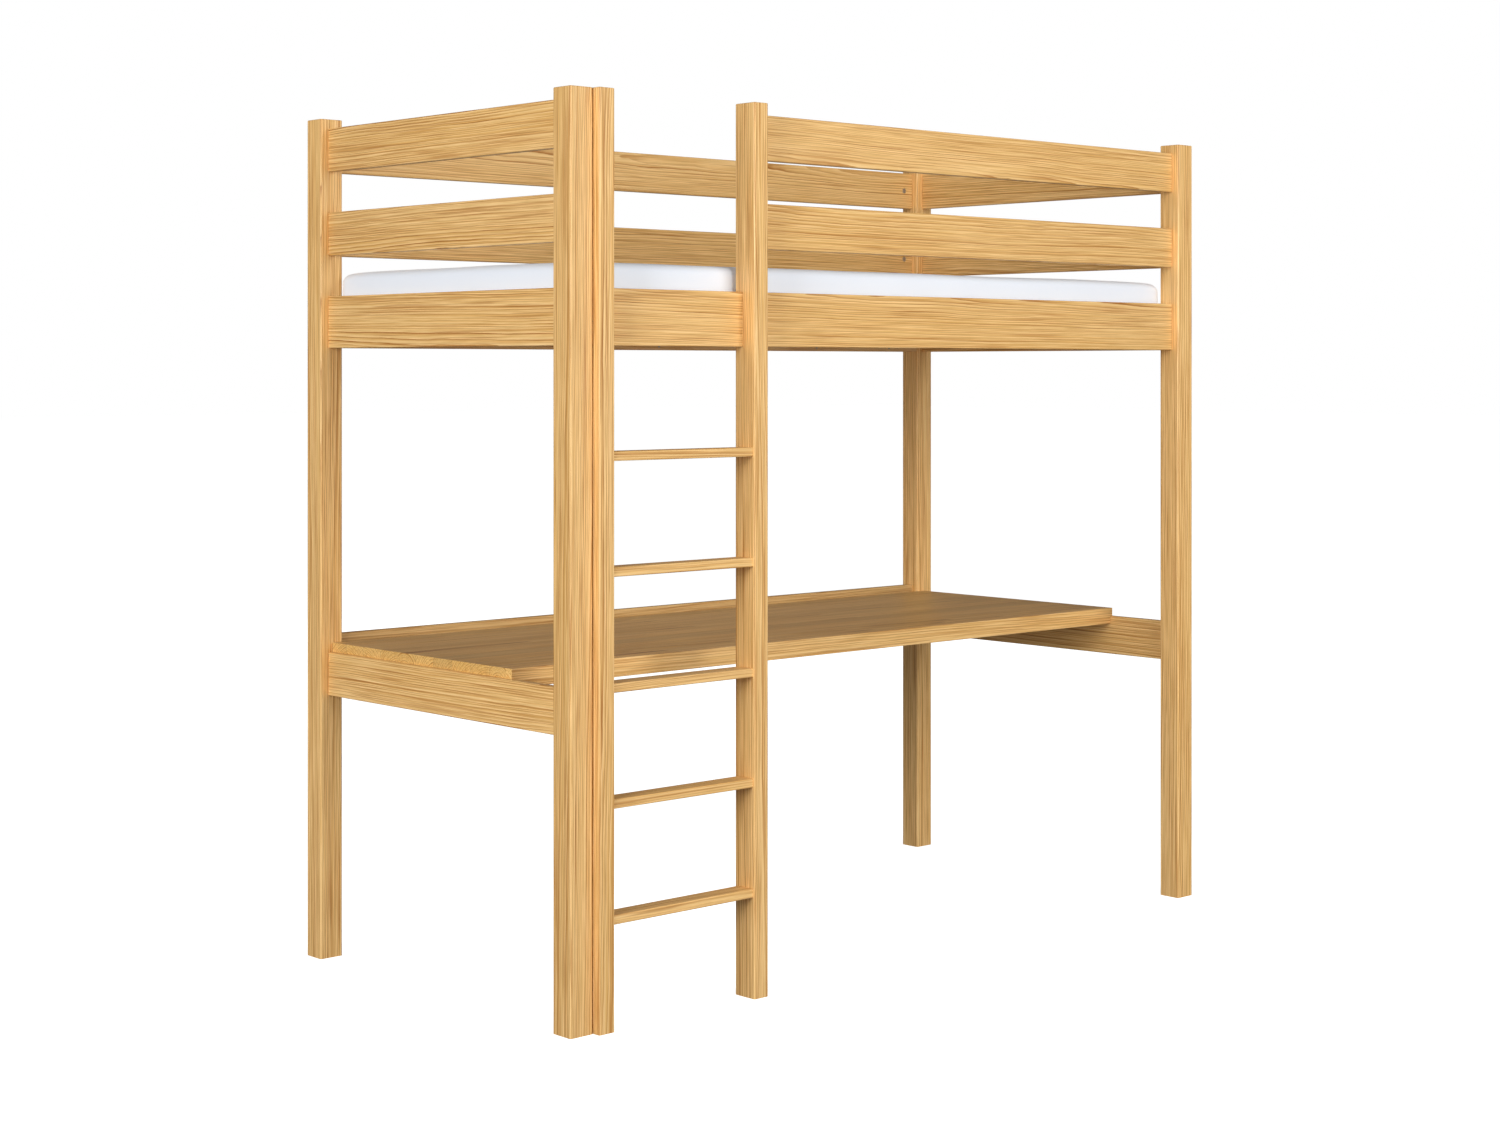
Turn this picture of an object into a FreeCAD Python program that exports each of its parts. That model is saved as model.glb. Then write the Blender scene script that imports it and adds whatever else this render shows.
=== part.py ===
import FreeCAD, Part
import math
import os
from FreeCAD import Vector

# Loft bed with a ladder on the front and a desk underneath, made of solid wood.
# Millimetres. +Z is up, +X runs along the bed, -Y is the ladder side.
# The origin is on the floor, at the centre of the outline seen from above.

# ---- Driving dimensions ----

# Mattress, and the room left round it
mattress_length = 2000.0
mattress_width = 900.0
mattress_thickness = 140.0
mattress_corner = 45.0
mattress_edge = 30.0
mattress_end_gap = 5.0
mattress_side_gap = 10.0
mattress_post_gap = 1.0
mattress_lift = 0.3

# Corner posts
post_height = 1980.0
post_side = 60.0
post_arris = 4.0
top_bevel = 1.5

# Boards between the posts
board_thickness = 20.0
board_arris = 2.5
guard_height = 102.0
guard_drop = 22.0
guard_gap = 96.0
bed_board_height = 122.0
rail_height = 102.0

# Ladder
stile_width = 42.0
stile_depth = 64.0
stile_proud = 19.0
stile_arris = 4.0
ladder_gap = 1.5
ladder_opening = 397.5
rung_count = 5
rung_thickness = 20.0
rung_depth = 50.0
rung_setback = 5.0
rung_arris = 2.5

# Desk
desk_height = 744.0
desk_depth = 700.0
desk_thickness = 22.0
desk_bearing = 8.0
desk_back_gap = 1.0
desk_arris = 1.5
strip_thickness = 20.0
strip_height = 42.0
strip_end_gap = 0.5
back_rail_upstand = 18.0

# Slatted base
batten_side = 20.0
batten_lift = 1.0
batten_end_gap = 2.0
slat_count = 14
slat_width = 70.0
slat_thickness = 15.0
slat_end_gap = 3.0
slat_post_gap = 10.0
slat_arris = 2.0

# Dowels, studs and cams
dowel_diameter = 8.0
dowel_length = 30.0
dowel_edge = 20.0
strip_dowel_count = 8
strip_dowel_inset = 12.0
strip_dowel_end = 80.0
rung_dowel_pitch = 26.0
stud_diameter = 6.0
stud_depth = 11.0
stud_head = 7.0
stud_head_length = 3.0
stud_neck = 4.4
stud_bore = 8.0
cam_diameter = 15.0
cam_reach = 34.0
cam_beyond_stud = 2.5
cam_slot_width = 1.4
cam_slot_depth = 1.5

# Screws: diameter, length, head diameter. The point's length and the recess's width are shares
# of the diameter, and the recess's length is a share of the head.
ladder_screw = (5.0, 50.0, 10.0)
post_screw = (5.0, 80.0, 10.0)
batten_screw = (4.0, 35.0, 8.0)
slat_screw = (3.5, 30.0, 7.0)
bracket_screw = (3.5, 15.0, 6.5)
ladder_screw_pitch = 60.0
screw_point = 1.2
screw_tip = 0.3
recess_length = 0.5
recess_width = 0.2

# Brackets that hold the desk panel to its end rails
bracket_leg = 30.0
bracket_width = 25.0
bracket_thickness = 2.0
bracket_inset = 180.0
bracket_hole_out = 18.0

# Heights of the screws through the left stile, in rung steps above the floor
post_screw_steps = (0.6, 3.5, 5.5)

# Clearance round dowels, studs and screws, and how far a cutting shape runs past a face
fit_gap = 0.1
tool_over = 0.5
tolerance = 1e-6

# ---- Worked out from the driving dimensions ----

board_inset = (post_side - board_thickness) / 2
inner_inset = board_inset + board_thickness
bed_length = mattress_length + 2 * (mattress_end_gap + inner_inset)
stile_intrusion = max(inner_inset, stile_depth - stile_proud)
bed_width = mattress_width + 2 * mattress_side_gap + stile_intrusion + inner_inset

left = -bed_length / 2
right = bed_length / 2
front = -(bed_width - stile_proud) / 2
back = front + bed_width
mattress_front = front + stile_intrusion + mattress_side_gap

# The posts' inner corners stand past the mattress's ends and back side, so its corners are
# rounded at least enough to pass them.
past_end = max(0.0, post_side - inner_inset - mattress_end_gap)
past_side = max(0.0, post_side - inner_inset - mattress_side_gap)
past_both = past_end + past_side + mattress_post_gap
post_clearing = past_both ** 2 - past_end ** 2 - past_side ** 2 + mattress_post_gap ** 2
corner_radius = max(mattress_corner, past_both + math.sqrt(post_clearing))

post_inner_x = right - post_side
post_back_of_front = front + post_side
post_front_of_back = back - post_side
inside_x = right - inner_inset
inside_front = front + inner_inset
inside_back = back - inner_inset

guard_upper_top = post_height - guard_drop
guard_middle_top = guard_upper_top - guard_height - guard_gap
bed_board_top = guard_middle_top - guard_height - guard_gap
bed_board_bottom = bed_board_top - bed_board_height
desk_under = desk_height - desk_thickness
back_rail_top = desk_height + back_rail_upstand

batten_bottom = bed_board_bottom + batten_lift
slat_under = batten_bottom + batten_side
slat_top = slat_under + slat_thickness
mattress_bottom = slat_top + mattress_lift

rung_rise = slat_under / (rung_count + 1)
stile_front = front - stile_proud
stile_back = stile_front + stile_depth
stile_left_x = left + post_side + ladder_gap
stile_right_x = stile_left_x + stile_width + ladder_opening
guard_left_x = stile_right_x + stile_width

panel_end_x = inside_x + desk_bearing
panel_back = post_front_of_back - desk_back_gap
strip_front = panel_back - desk_depth
strip_back = strip_front + strip_thickness

pieces = {}
groups = {}
holes = {}

X = Vector(1, 0, 0)
Y = Vector(0, 1, 0)
Z = Vector(0, 0, 1)


def box(x0, x1, y0, y1, z0, z1):
    return Part.makeBox(x1 - x0, y1 - y0, z1 - z0, Vector(x0, y0, z0))


def edges_along(shape, axis):
    found = []
    for edge in shape.Edges:
        run = edge.Vertexes[-1].Point - edge.Vertexes[0].Point
        if run.Length > 0 and abs(run.normalize().dot(axis)) > 0.999:
            found.append(edge)
    return found


def edges_at_height(shape, height):
    found = []
    for edge in shape.Edges:
        bounds = edge.BoundBox
        if abs(bounds.ZMin - height) < tolerance and abs(bounds.ZMax - height) < tolerance:
            found.append(edge)
    return found


def eased(shape, radius, edges):
    # Rounds the edges, never by more than the section can take.
    bounds = shape.BoundBox
    thinnest = min(bounds.XLength, bounds.YLength, bounds.ZLength)
    return shape.makeFillet(min(radius, thinnest * 0.45), edges)


def rounded_board(x0, x1, y0, y1, z0, z1):
    # The ends are eased as well as the long edges.
    shape = box(x0, x1, y0, y1, z0, z1)
    return eased(shape, board_arris, shape.Edges)


def upright(x0, x1, y0, y1, height, arris):
    shape = box(x0, x1, y0, y1, 0, height)
    shape = eased(shape, arris, edges_along(shape, Z))
    return shape.makeChamfer(top_bevel, edges_at_height(shape, height))


# ---- Fasteners ----

def drill(names, tool):
    for name in names:
        holes.setdefault(name, []).append(tool)


def add_to_group(name, shape):
    groups.setdefault(name, []).append(shape)


def dowel(group, centre, axis, names, shift=0.0):
    # A plain dowel across a joint face; shift moves it further along its axis.
    start = centre + axis * (shift - dowel_length / 2)
    add_to_group(group, Part.makeCylinder(dowel_diameter / 2, dowel_length, start, axis))
    hole_start = start - axis * tool_over
    hole_radius = dowel_diameter / 2 + fit_gap
    drill(names, Part.makeCylinder(hole_radius, dowel_length + 2 * tool_over, hole_start, axis))


def turned(points, origin, axis):
    # Revolves (radius, distance) points about an axis that starts at origin.
    side = Z if abs(axis.z) < 0.5 else X
    outline = [origin + side * radius + axis * distance for radius, distance in points]
    outline = [origin + axis * points[0][1]] + outline + [origin + axis * points[-1][1]]
    wire = Part.makePolygon(outline + [outline[0]])
    return Part.Face(wire).revolve(origin, axis, 360)


def screw(group, size, origin, axis, names):
    # A countersunk screw whose flat head lies flush at origin and which points along axis.
    diameter, length, head = size
    shank = diameter / 2
    cone = head / 2 - shank
    shank_end = length - diameter * screw_point
    profile = [(head / 2, 0), (shank, cone), (shank, shank_end), (screw_tip, length)]
    body = turned(profile, origin, axis)
    long = head * recess_length
    wide = diameter * recess_width
    recess = box(-long / 2, long / 2, -wide / 2, wide / 2, -cone / 2, cone / 2)
    turn = FreeCAD.Rotation(Z, axis)
    for angle in (0, 90):
        blade = recess.copy()
        blade.Placement = FreeCAD.Placement(origin, turn.multiply(FreeCAD.Rotation(Z, angle)))
        body = body.cut(blade)
    add_to_group(group, body)
    mouth = head / 2 + fit_gap
    bore = shank + fit_gap
    profile = [(mouth, -tool_over), (mouth, 0), (bore, cone), (bore, length + tool_over)]
    drill(names, turned(profile, origin, axis))


def stud_and_cam(face, into_post, inner, board, post):
    # A stud in the post, gripped by a cam let into the board's inner face.
    # face is the centre of the joint, inner the way the board's inner face looks.
    into_board = into_post * -1
    thread = stud_diameter / 2
    neck_start = cam_reach - stud_head_length * 2
    head_start = cam_reach - stud_head_length
    stud_profile = [
        (thread, -stud_depth),
        (thread, neck_start),
        (stud_neck / 2, neck_start),
        (stud_neck / 2, head_start),
        (stud_head / 2, head_start),
        (stud_head / 2, cam_reach),
    ]
    add_to_group("cam_studs", turned(stud_profile, face, into_board))
    post_start = face + into_post * (stud_depth + tool_over)
    post_bore = Part.makeCylinder(thread + fit_gap, stud_depth + 2 * tool_over, post_start, into_board)
    drill([post], post_bore)
    board_start = face - into_board * tool_over
    board_bore = Part.makeCylinder(stud_bore / 2, cam_reach + tool_over, board_start, into_board)
    drill([board], board_bore)

    radius = cam_diameter / 2
    depth = board_thickness / 2 + stud_head / 2 + cam_beyond_stud
    surface = face + into_board * cam_reach + inner * (board_thickness / 2)
    drum = Part.makeCylinder(radius - fit_gap, depth, surface, inner * -1)
    mouth_start = face + into_board * (cam_reach - radius)
    mouth = Part.makeCylinder(stud_bore / 2, radius + stud_head_length, mouth_start, into_board)
    drum = drum.cut(mouth)
    for blade_x, blade_z in ((radius, cam_slot_width), (cam_slot_width, radius)):
        size = into_board * blade_x + Z * blade_z + inner * (2 * cam_slot_depth)
        corner = surface - size * 0.5
        low = Vector(min(corner.x, (corner + size).x), min(corner.y, (corner + size).y), corner.z)
        drum = drum.cut(Part.makeBox(abs(size.x), abs(size.y), abs(size.z), low))
    add_to_group("cam_locks", drum)
    pocket_start = surface + inner * tool_over
    drill([board], Part.makeCylinder(radius, depth + 2 * tool_over, pocket_start, inner * -1))


def edge_dowels(face, axis, height, board, post):
    # Two dowels, one above and one below the middle of a board's end.
    offset = height / 2 - dowel_edge
    for side in (-1, 1):
        dowel("joint_dowels", face + Z * (side * offset), axis, [board, post])


# ---- Frame ----

def make_posts():
    corners = {
        "post_front_left": (left, front),
        "post_front_right": (right - post_side, front),
        "post_back_left": (left, back - post_side),
        "post_back_right": (right - post_side, back - post_side),
    }
    for name, (x, y) in corners.items():
        pieces[name] = upright(x, x + post_side, y, y + post_side, post_height, post_arris)


def long_board(name, x0, x1, outer_y, inner, top, height, ends):
    # A board along the bed. inner is +Y on the front side and -Y on the back side.
    # ends names the uprights that it joins at its left and right ends.
    outer = outer_y + inner.y * board_inset
    face = outer + inner.y * board_thickness
    pieces[name] = rounded_board(x0, x1, min(outer, face), max(outer, face), top - height, top)
    mid_y = (outer + face) / 2
    mid_z = top - height / 2
    for x, into_post, post in ((x0, X * -1, ends[0]), (x1, X, ends[1])):
        joint = Vector(x, mid_y, mid_z)
        stud_and_cam(joint, into_post, inner, name, post)
        edge_dowels(joint, X, height, name, post)


def end_board(name, side, top, height, front_post, back_post):
    # A board across the bed, glued and dowelled into its two posts. side is -1 left, 1 right.
    outer = side * (right - board_inset)
    face = outer - side * board_thickness
    x0 = min(outer, face)
    x1 = max(outer, face)
    pieces[name] = rounded_board(x0, x1, post_back_of_front, post_front_of_back, top - height, top)
    mid_x = (outer + face) / 2
    mid_z = top - height / 2
    edge_dowels(Vector(mid_x, post_back_of_front, mid_z), Y, height, name, front_post)
    edge_dowels(Vector(mid_x, post_front_of_back, mid_z), Y, height, name, back_post)


def make_boards():
    inner_left = left + post_side
    front_boards = (
        ("bed_board_front", inner_left, "post_front_left", bed_board_top, bed_board_height),
        ("guard_front_upper", guard_left_x, "ladder_stile_right", guard_upper_top, guard_height),
        ("guard_front_middle", guard_left_x, "ladder_stile_right", guard_middle_top, guard_height),
    )
    for name, start, upright_name, top, height in front_boards:
        ends = (upright_name, "post_front_right")
        long_board(name, start, post_inner_x, front, Y, top, height, ends)
    back_boards = (
        ("bed_board_back", bed_board_top, bed_board_height),
        ("guard_back_upper", guard_upper_top, guard_height),
        ("guard_back_middle", guard_middle_top, guard_height),
        ("desk_rail_back", back_rail_top, rail_height),
    )
    for name, top, height in back_boards:
        ends = ("post_back_left", "post_back_right")
        long_board(name, inner_left, post_inner_x, back, Y * -1, top, height, ends)
    end_boards = (
        ("bed_board", bed_board_top, bed_board_height),
        ("guard_upper", guard_upper_top, guard_height),
        ("guard_middle", guard_middle_top, guard_height),
        ("desk_rail", desk_under, rail_height),
    )
    for end, side in (("left", -1), ("right", 1)):
        for kind, top, height in end_boards:
            stem, _, level = kind.partition("_")
            if stem == "guard":
                name = "guard_" + end + "_" + level
            else:
                name = kind + "_" + end
            end_board(name, side, top, height, "post_front_" + end, "post_back_" + end)


# ---- Ladder ----

def make_ladder():
    outer_face = front + board_inset
    board_mid = bed_board_top - bed_board_height / 2
    for name, x in (("ladder_stile_left", stile_left_x), ("ladder_stile_right", stile_right_x)):
        shape = upright(x, x + stile_width, stile_front, stile_back, post_height, stile_arris)
        x0 = x - tool_over
        x1 = x + stile_width + tool_over
        notch = box(x0, x1, outer_face, stile_back + tool_over, bed_board_bottom, bed_board_top)
        pieces[name] = shape.cut(notch)
        for side in (-1, 1):
            head = Vector(x + stile_width / 2, inside_front, board_mid + side * ladder_screw_pitch / 2)
            screw("ladder_screws", ladder_screw, head, Y * -1, ["bed_board_front", name])

    heights = [rung_rise * step for step in post_screw_steps]
    heights.append(guard_upper_top - guard_height / 2)
    for height in heights:
        head = Vector(stile_left_x + stile_width, front + board_inset, height)
        screw("post_screws", post_screw, head, X * -1, ["ladder_stile_left", "post_front_left"])

    rung_left = stile_left_x + stile_width
    rung_front = stile_front + rung_setback
    for number in range(1, rung_count + 1):
        name = "rung_" + str(number)
        top = rung_rise * number
        shape = box(rung_left, stile_right_x, rung_front, rung_front + rung_depth, top - rung_thickness, top)
        pieces[name] = eased(shape, rung_arris, edges_along(shape, X))
        for x, stile in ((rung_left, "ladder_stile_left"), (stile_right_x, "ladder_stile_right")):
            for side in (-1, 1):
                y = rung_front + rung_depth / 2 + side * rung_dowel_pitch / 2
                dowel("rung_dowels", Vector(x, y, top - rung_thickness / 2), X, [name, stile])


# ---- Desk ----

def make_desk():
    panel = box(-panel_end_x, panel_end_x, strip_back, panel_back, desk_under, desk_height)
    pieces["desk_panel"] = panel

    strip = box(-panel_end_x, panel_end_x, strip_front, strip_back, desk_height - strip_height, desk_height)
    front_edges = [edge for edge in edges_along(strip, X) if edge.BoundBox.YMax < strip_front + tolerance]
    strip = strip.makeFillet(desk_arris, front_edges)
    y0 = strip_front - tool_over
    y1 = strip_back + tool_over
    for side in (-1, 1):
        rest = side * (inside_x - strip_end_gap)
        past = side * (panel_end_x + tool_over)
        under = desk_height - strip_height - tool_over
        strip = strip.cut(box(min(rest, past), max(rest, past), y0, y1, under, desk_under))
    pieces["desk_front_strip"] = strip

    reach = inside_x - strip_dowel_end
    step = 2 * reach / (strip_dowel_count - 1)
    shift = dowel_length / 2 - strip_dowel_inset
    for number in range(strip_dowel_count):
        centre = Vector(-reach + number * step, strip_back, desk_height - desk_thickness / 2)
        dowel("strip_dowels", centre, Y, ["desk_panel", "desk_front_strip"], shift)

    for end, side in (("left", -1), ("right", 1)):
        for place, y in (("front", strip_front + bracket_inset), ("back", panel_back - bracket_inset)):
            make_bracket("desk_bracket_" + end + "_" + place, side, y, "desk_rail_" + end)


def make_bracket(name, side, y, rail):
    # An angle bracket in the corner between an end rail and the underside of the panel.
    x = side * inside_x
    inward = X * -side
    y0 = y - bracket_width / 2
    y1 = y + bracket_width / 2
    far = x - side * bracket_leg
    near = x - side * bracket_thickness
    down = box(min(x, near), max(x, near), y0, y1, desk_under - bracket_leg, desk_under)
    across = box(min(x, far), max(x, far), y0, y1, desk_under - bracket_thickness, desk_under)
    pieces[name] = down.fuse(across).removeSplitter()
    rail_head = Vector(near, y, desk_under - bracket_hole_out)
    screw("bracket_screws", bracket_screw, rail_head, inward * -1, [name, rail])
    panel_head = Vector(x - side * bracket_hole_out, y, desk_under - bracket_thickness)
    screw("bracket_screws", bracket_screw, panel_head, Z, [name, "desk_panel"])


# ---- Slatted base and mattress ----

def make_base():
    batten_end = post_inner_x - batten_end_gap
    slat_reach = post_inner_x - slat_post_gap - slat_width / 2
    pitch = 2 * slat_reach / (slat_count - 1)
    slat_centres = [-slat_reach + number * pitch for number in range(slat_count)]
    sides = (("front", inside_front, Y), ("back", inside_back, Y * -1))
    for side, face, inward in sides:
        name = "slat_batten_" + side
        inner = face + inward.y * batten_side
        shape = box(-batten_end, batten_end, min(face, inner), max(face, inner), batten_bottom, slat_under)
        pieces[name] = eased(shape, slat_arris, edges_along(shape, X))
        for number in range(0, slat_count - 1, 2):
            x = (slat_centres[number] + slat_centres[number + 1]) / 2
            head = Vector(x, inner, (batten_bottom + slat_under) / 2)
            screw("batten_screws", batten_screw, head, inward * -1, [name, "bed_board_" + side])

    for number, x in enumerate(slat_centres, 1):
        name = "slat_" + str(number)
        y0 = inside_front + slat_end_gap
        y1 = inside_back - slat_end_gap
        shape = box(x - slat_width / 2, x + slat_width / 2, y0, y1, slat_under, slat_top)
        pieces[name] = eased(shape, slat_arris, edges_along(shape, Y))
        for side, face, inward in sides:
            head = Vector(x, face + inward.y * batten_side / 2, slat_top)
            screw("slat_screws", slat_screw, head, Z * -1, [name, "slat_batten_" + side])


def make_mattress():
    half_length = mattress_length / 2
    mattress_back = mattress_front + mattress_width
    top = mattress_bottom + mattress_thickness
    shape = box(-half_length, half_length, mattress_front, mattress_back, mattress_bottom, top)
    shape = shape.makeFillet(corner_radius, edges_along(shape, Z))
    rims = edges_at_height(shape, mattress_bottom) + edges_at_height(shape, top)
    pieces["mattress"] = shape.makeFillet(mattress_edge, rims)


make_posts()
make_boards()
make_ladder()
make_desk()
make_base()
make_mattress()

os.makedirs("parts", exist_ok=True)
for name, shape in pieces.items():
    if name in holes:
        shape = shape.cut(holes[name])
    if len(shape.Solids) != 1 or not shape.isValid():
        raise RuntimeError(name + " is not one sound solid")
    shape.Solids[0].exportStep("parts/" + name + ".step")
for name, shapes in groups.items():
    for shape in shapes:
        if len(shape.Solids) != 1 or not shape.isValid():
            raise RuntimeError(name + " holds an unsound solid")
    Part.makeCompound(shapes).exportStep("parts/" + name + ".step")
size = " x ".join(str(round(length, 1)) for length in (bed_length, bed_width, post_height))
print("bed", size, "mm;", len(pieces) + len(groups), "nodes")
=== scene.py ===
import math
import random
import bmesh
import bpy
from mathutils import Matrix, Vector


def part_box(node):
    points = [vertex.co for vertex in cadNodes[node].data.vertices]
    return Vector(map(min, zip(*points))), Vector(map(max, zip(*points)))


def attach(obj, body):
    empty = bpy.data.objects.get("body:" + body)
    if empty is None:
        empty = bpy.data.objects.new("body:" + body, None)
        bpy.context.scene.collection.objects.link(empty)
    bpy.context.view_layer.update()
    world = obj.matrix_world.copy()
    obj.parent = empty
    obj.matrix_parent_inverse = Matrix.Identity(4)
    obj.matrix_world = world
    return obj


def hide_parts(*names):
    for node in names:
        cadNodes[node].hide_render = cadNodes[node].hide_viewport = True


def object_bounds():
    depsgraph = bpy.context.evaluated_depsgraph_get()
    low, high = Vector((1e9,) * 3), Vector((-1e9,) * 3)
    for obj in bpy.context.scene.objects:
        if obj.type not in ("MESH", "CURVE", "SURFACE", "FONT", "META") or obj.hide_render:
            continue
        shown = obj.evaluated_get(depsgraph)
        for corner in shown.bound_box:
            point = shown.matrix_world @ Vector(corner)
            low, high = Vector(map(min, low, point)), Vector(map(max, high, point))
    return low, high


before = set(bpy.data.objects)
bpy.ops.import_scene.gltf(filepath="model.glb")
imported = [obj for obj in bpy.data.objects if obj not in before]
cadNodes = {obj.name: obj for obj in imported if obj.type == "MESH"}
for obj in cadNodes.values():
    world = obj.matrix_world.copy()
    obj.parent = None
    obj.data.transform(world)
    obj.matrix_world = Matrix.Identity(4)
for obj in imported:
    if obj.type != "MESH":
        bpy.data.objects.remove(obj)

scene = bpy.context.scene
cadLow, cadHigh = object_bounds()
white = (1.0, 1.0, 1.0, 1.0)
print("frame loaded,", len(cadNodes), "CAD nodes")


# small helpers for node trees

def addNode(tree, kind, inputs=None, **settings):
    # inputs holds numbers, colours or the sockets that feed them
    node = tree.nodes.new("ShaderNode" + kind)
    for key, value in settings.items():
        setattr(node, key, value)
    for key, value in (inputs or {}).items():
        if isinstance(value, bpy.types.NodeSocket):
            tree.links.new(value, node.inputs[key])
        else:
            node.inputs[key].default_value = value
    return node


def calc(tree, operation, first, second=0.0, third=0.0, clamp=False):
    values = {0: first, 1: second}
    if operation == "MULTIPLY_ADD":
        values[2] = third
    return addNode(tree, "Math", values, operation=operation, use_clamp=clamp).outputs[0]


def vectorCalc(tree, operation, first, second):
    return addNode(tree, "VectorMath", {0: first, 1: second}, operation=operation).outputs[0]


def split(tree, vector):
    return addNode(tree, "SeparateXYZ", {0: vector}).outputs


def grey(tree, value):
    return addNode(tree, "CombineColor", {0: value, 1: value, 2: value}).outputs[0]


def mixColour(tree, amount, first, second, blend="MIX"):
    # a Mix node for colours takes its amount at socket 0 and its colours at 6 and 7
    node = addNode(tree, "Mix", data_type="RGBA", blend_type=blend, clamp_factor=True)
    for place, value in ((0, amount), (6, first), (7, second)):
        if isinstance(value, bpy.types.NodeSocket):
            tree.links.new(value, node.inputs[place])
        else:
            node.inputs[place].default_value = value
    return node.outputs[2]


def ramp(tree, value, stops):
    # stops is a list of (place, brightness)
    node = addNode(tree, "ValToRGB", {"Fac": value})
    points = node.color_ramp.elements
    while len(points) < len(stops):
        points.new(0.5)
    for point, (place, bright) in zip(points, stops):
        point.position = place
        point.color = (bright, bright, bright, 1.0)
    return node.outputs["Color"]


def grainNoise(tree, place, alongGrain, acrossGrain, detail=2.0, rough=0.5):
    # noise that is stretched along the grain; the two sizes are cycles per metre
    stretched = vectorCalc(tree, "MULTIPLY", place, (alongGrain, acrossGrain, acrossGrain))
    inputs = {"Vector": stretched, "Scale": 1.0, "Detail": detail, "Roughness": rough}
    return addNode(tree, "TexNoise", inputs)


def linear(red, green, blue):
    # display values 0 to 255 into scene-linear colour
    def one(value):
        value = value / 255
        return value / 12.92 if value <= 0.04045 else ((value + 0.055) / 1.055) ** 2.4
    return (one(red), one(green), one(blue), 1.0)


def wear(node, material):
    node.data.materials.clear()
    node.data.materials.append(material)


# camera: held level and turned to its heading in degrees, lens and sensor in mm
shot = {
    "place": (-4.250, -4.543, 1.393),
    "heading": -42.49,
    "lens": 59.6,
    "sensor": 36.0,
    "shiftDown": 0.1297,
}


def placeCamera():
    data = bpy.data.cameras.new("camera")
    data.lens = shot["lens"]
    data.sensor_width = shot["sensor"]
    data.shift_y = -shot["shiftDown"]
    data.dof.use_dof = False
    camera = bpy.data.objects.new("camera", data)
    camera.location = shot["place"]
    camera.rotation_euler = (math.radians(90), 0.0, math.radians(shot["heading"]))
    scene.collection.objects.link(camera)
    scene.camera = camera
    print("camera placed")


# studio: pale floor, white backdrop, broad lamps in front, at the ladder end and behind
studio = {
    "fill": 0.16,  # how brightly the backdrop lights the bed
    "floorHalf": 60.0,
    "floorDrop": 0.0005,  # keeps the floor just under the feet
    "floorColour": (0.93, 0.93, 0.93, 1.0),
    "floorRoughness": 0.9,
    "floorSpecular": 0.1,
    "floorGlow": 0.86,
    # name, place, width in metres, watts, seen in reflections
    "lamps": (
        ("frontLamp", (0.0, -6.3, 2.7), 4.2, 282.0, True),
        ("leftLamp", (-7.0, -2.0, 2.4), 3.0, 325.0, True),
        ("backLamp", (4.5, 6.0, 2.6), 3.5, 55.0, False),
    ),
}


def buildStudio():
    # the backdrop is seen as white, and lights the bed more softly than that
    world = bpy.data.worlds.new("studio")
    world.use_nodes = True
    tree = world.node_tree
    seen = addNode(tree, "LightPath").outputs["Is Camera Ray"]
    backdrop = tree.nodes["Background"]
    backdrop.inputs["Color"].default_value = white
    strength = calc(tree, "MULTIPLY_ADD", seen, 1.0 - studio["fill"], studio["fill"])
    tree.links.new(strength, backdrop.inputs["Strength"])
    scene.world = world

    half, under = studio["floorHalf"], -studio["floorDrop"]
    mesh = bpy.data.meshes.new("floor")
    corners = [(x * half, y * half, under) for x, y in ((-1, -1), (1, -1), (1, 1), (-1, 1))]
    mesh.from_pydata(corners, [], [(0, 1, 2, 3)])
    floor = bpy.data.objects.new("floor", mesh)
    scene.collection.objects.link(floor)
    paint = bpy.data.materials.new("paleFloor")
    paint.use_nodes = True
    shader = paint.node_tree.nodes["Principled BSDF"]
    shader.inputs["Base Color"].default_value = studio["floorColour"]
    shader.inputs["Roughness"].default_value = studio["floorRoughness"]
    shader.inputs["Specular IOR Level"].default_value = studio["floorSpecular"]
    shader.inputs["Emission Color"].default_value = white
    shader.inputs["Emission Strength"].default_value = studio["floorGlow"]
    mesh.materials.append(paint)
    floor.visible_diffuse = False
    floor.visible_glossy = False
    floor.visible_shadow = False

    aim = (cadLow + cadHigh) / 2
    for name, place, size, power, reflected in studio["lamps"]:
        light = bpy.data.lights.new(name, "AREA")
        light.size = size
        light.energy = power
        lamp = bpy.data.objects.new(name, light)
        lamp.visible_glossy = reflected
        lamp.location = place
        lamp.rotation_euler = (aim - Vector(place)).to_track_quat("-Z", "Y").to_euler()
        scene.collection.objects.link(lamp)

    scene.view_settings.view_transform = "Standard"
    scene.view_settings.look = "None"
    print("studio built")


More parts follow.
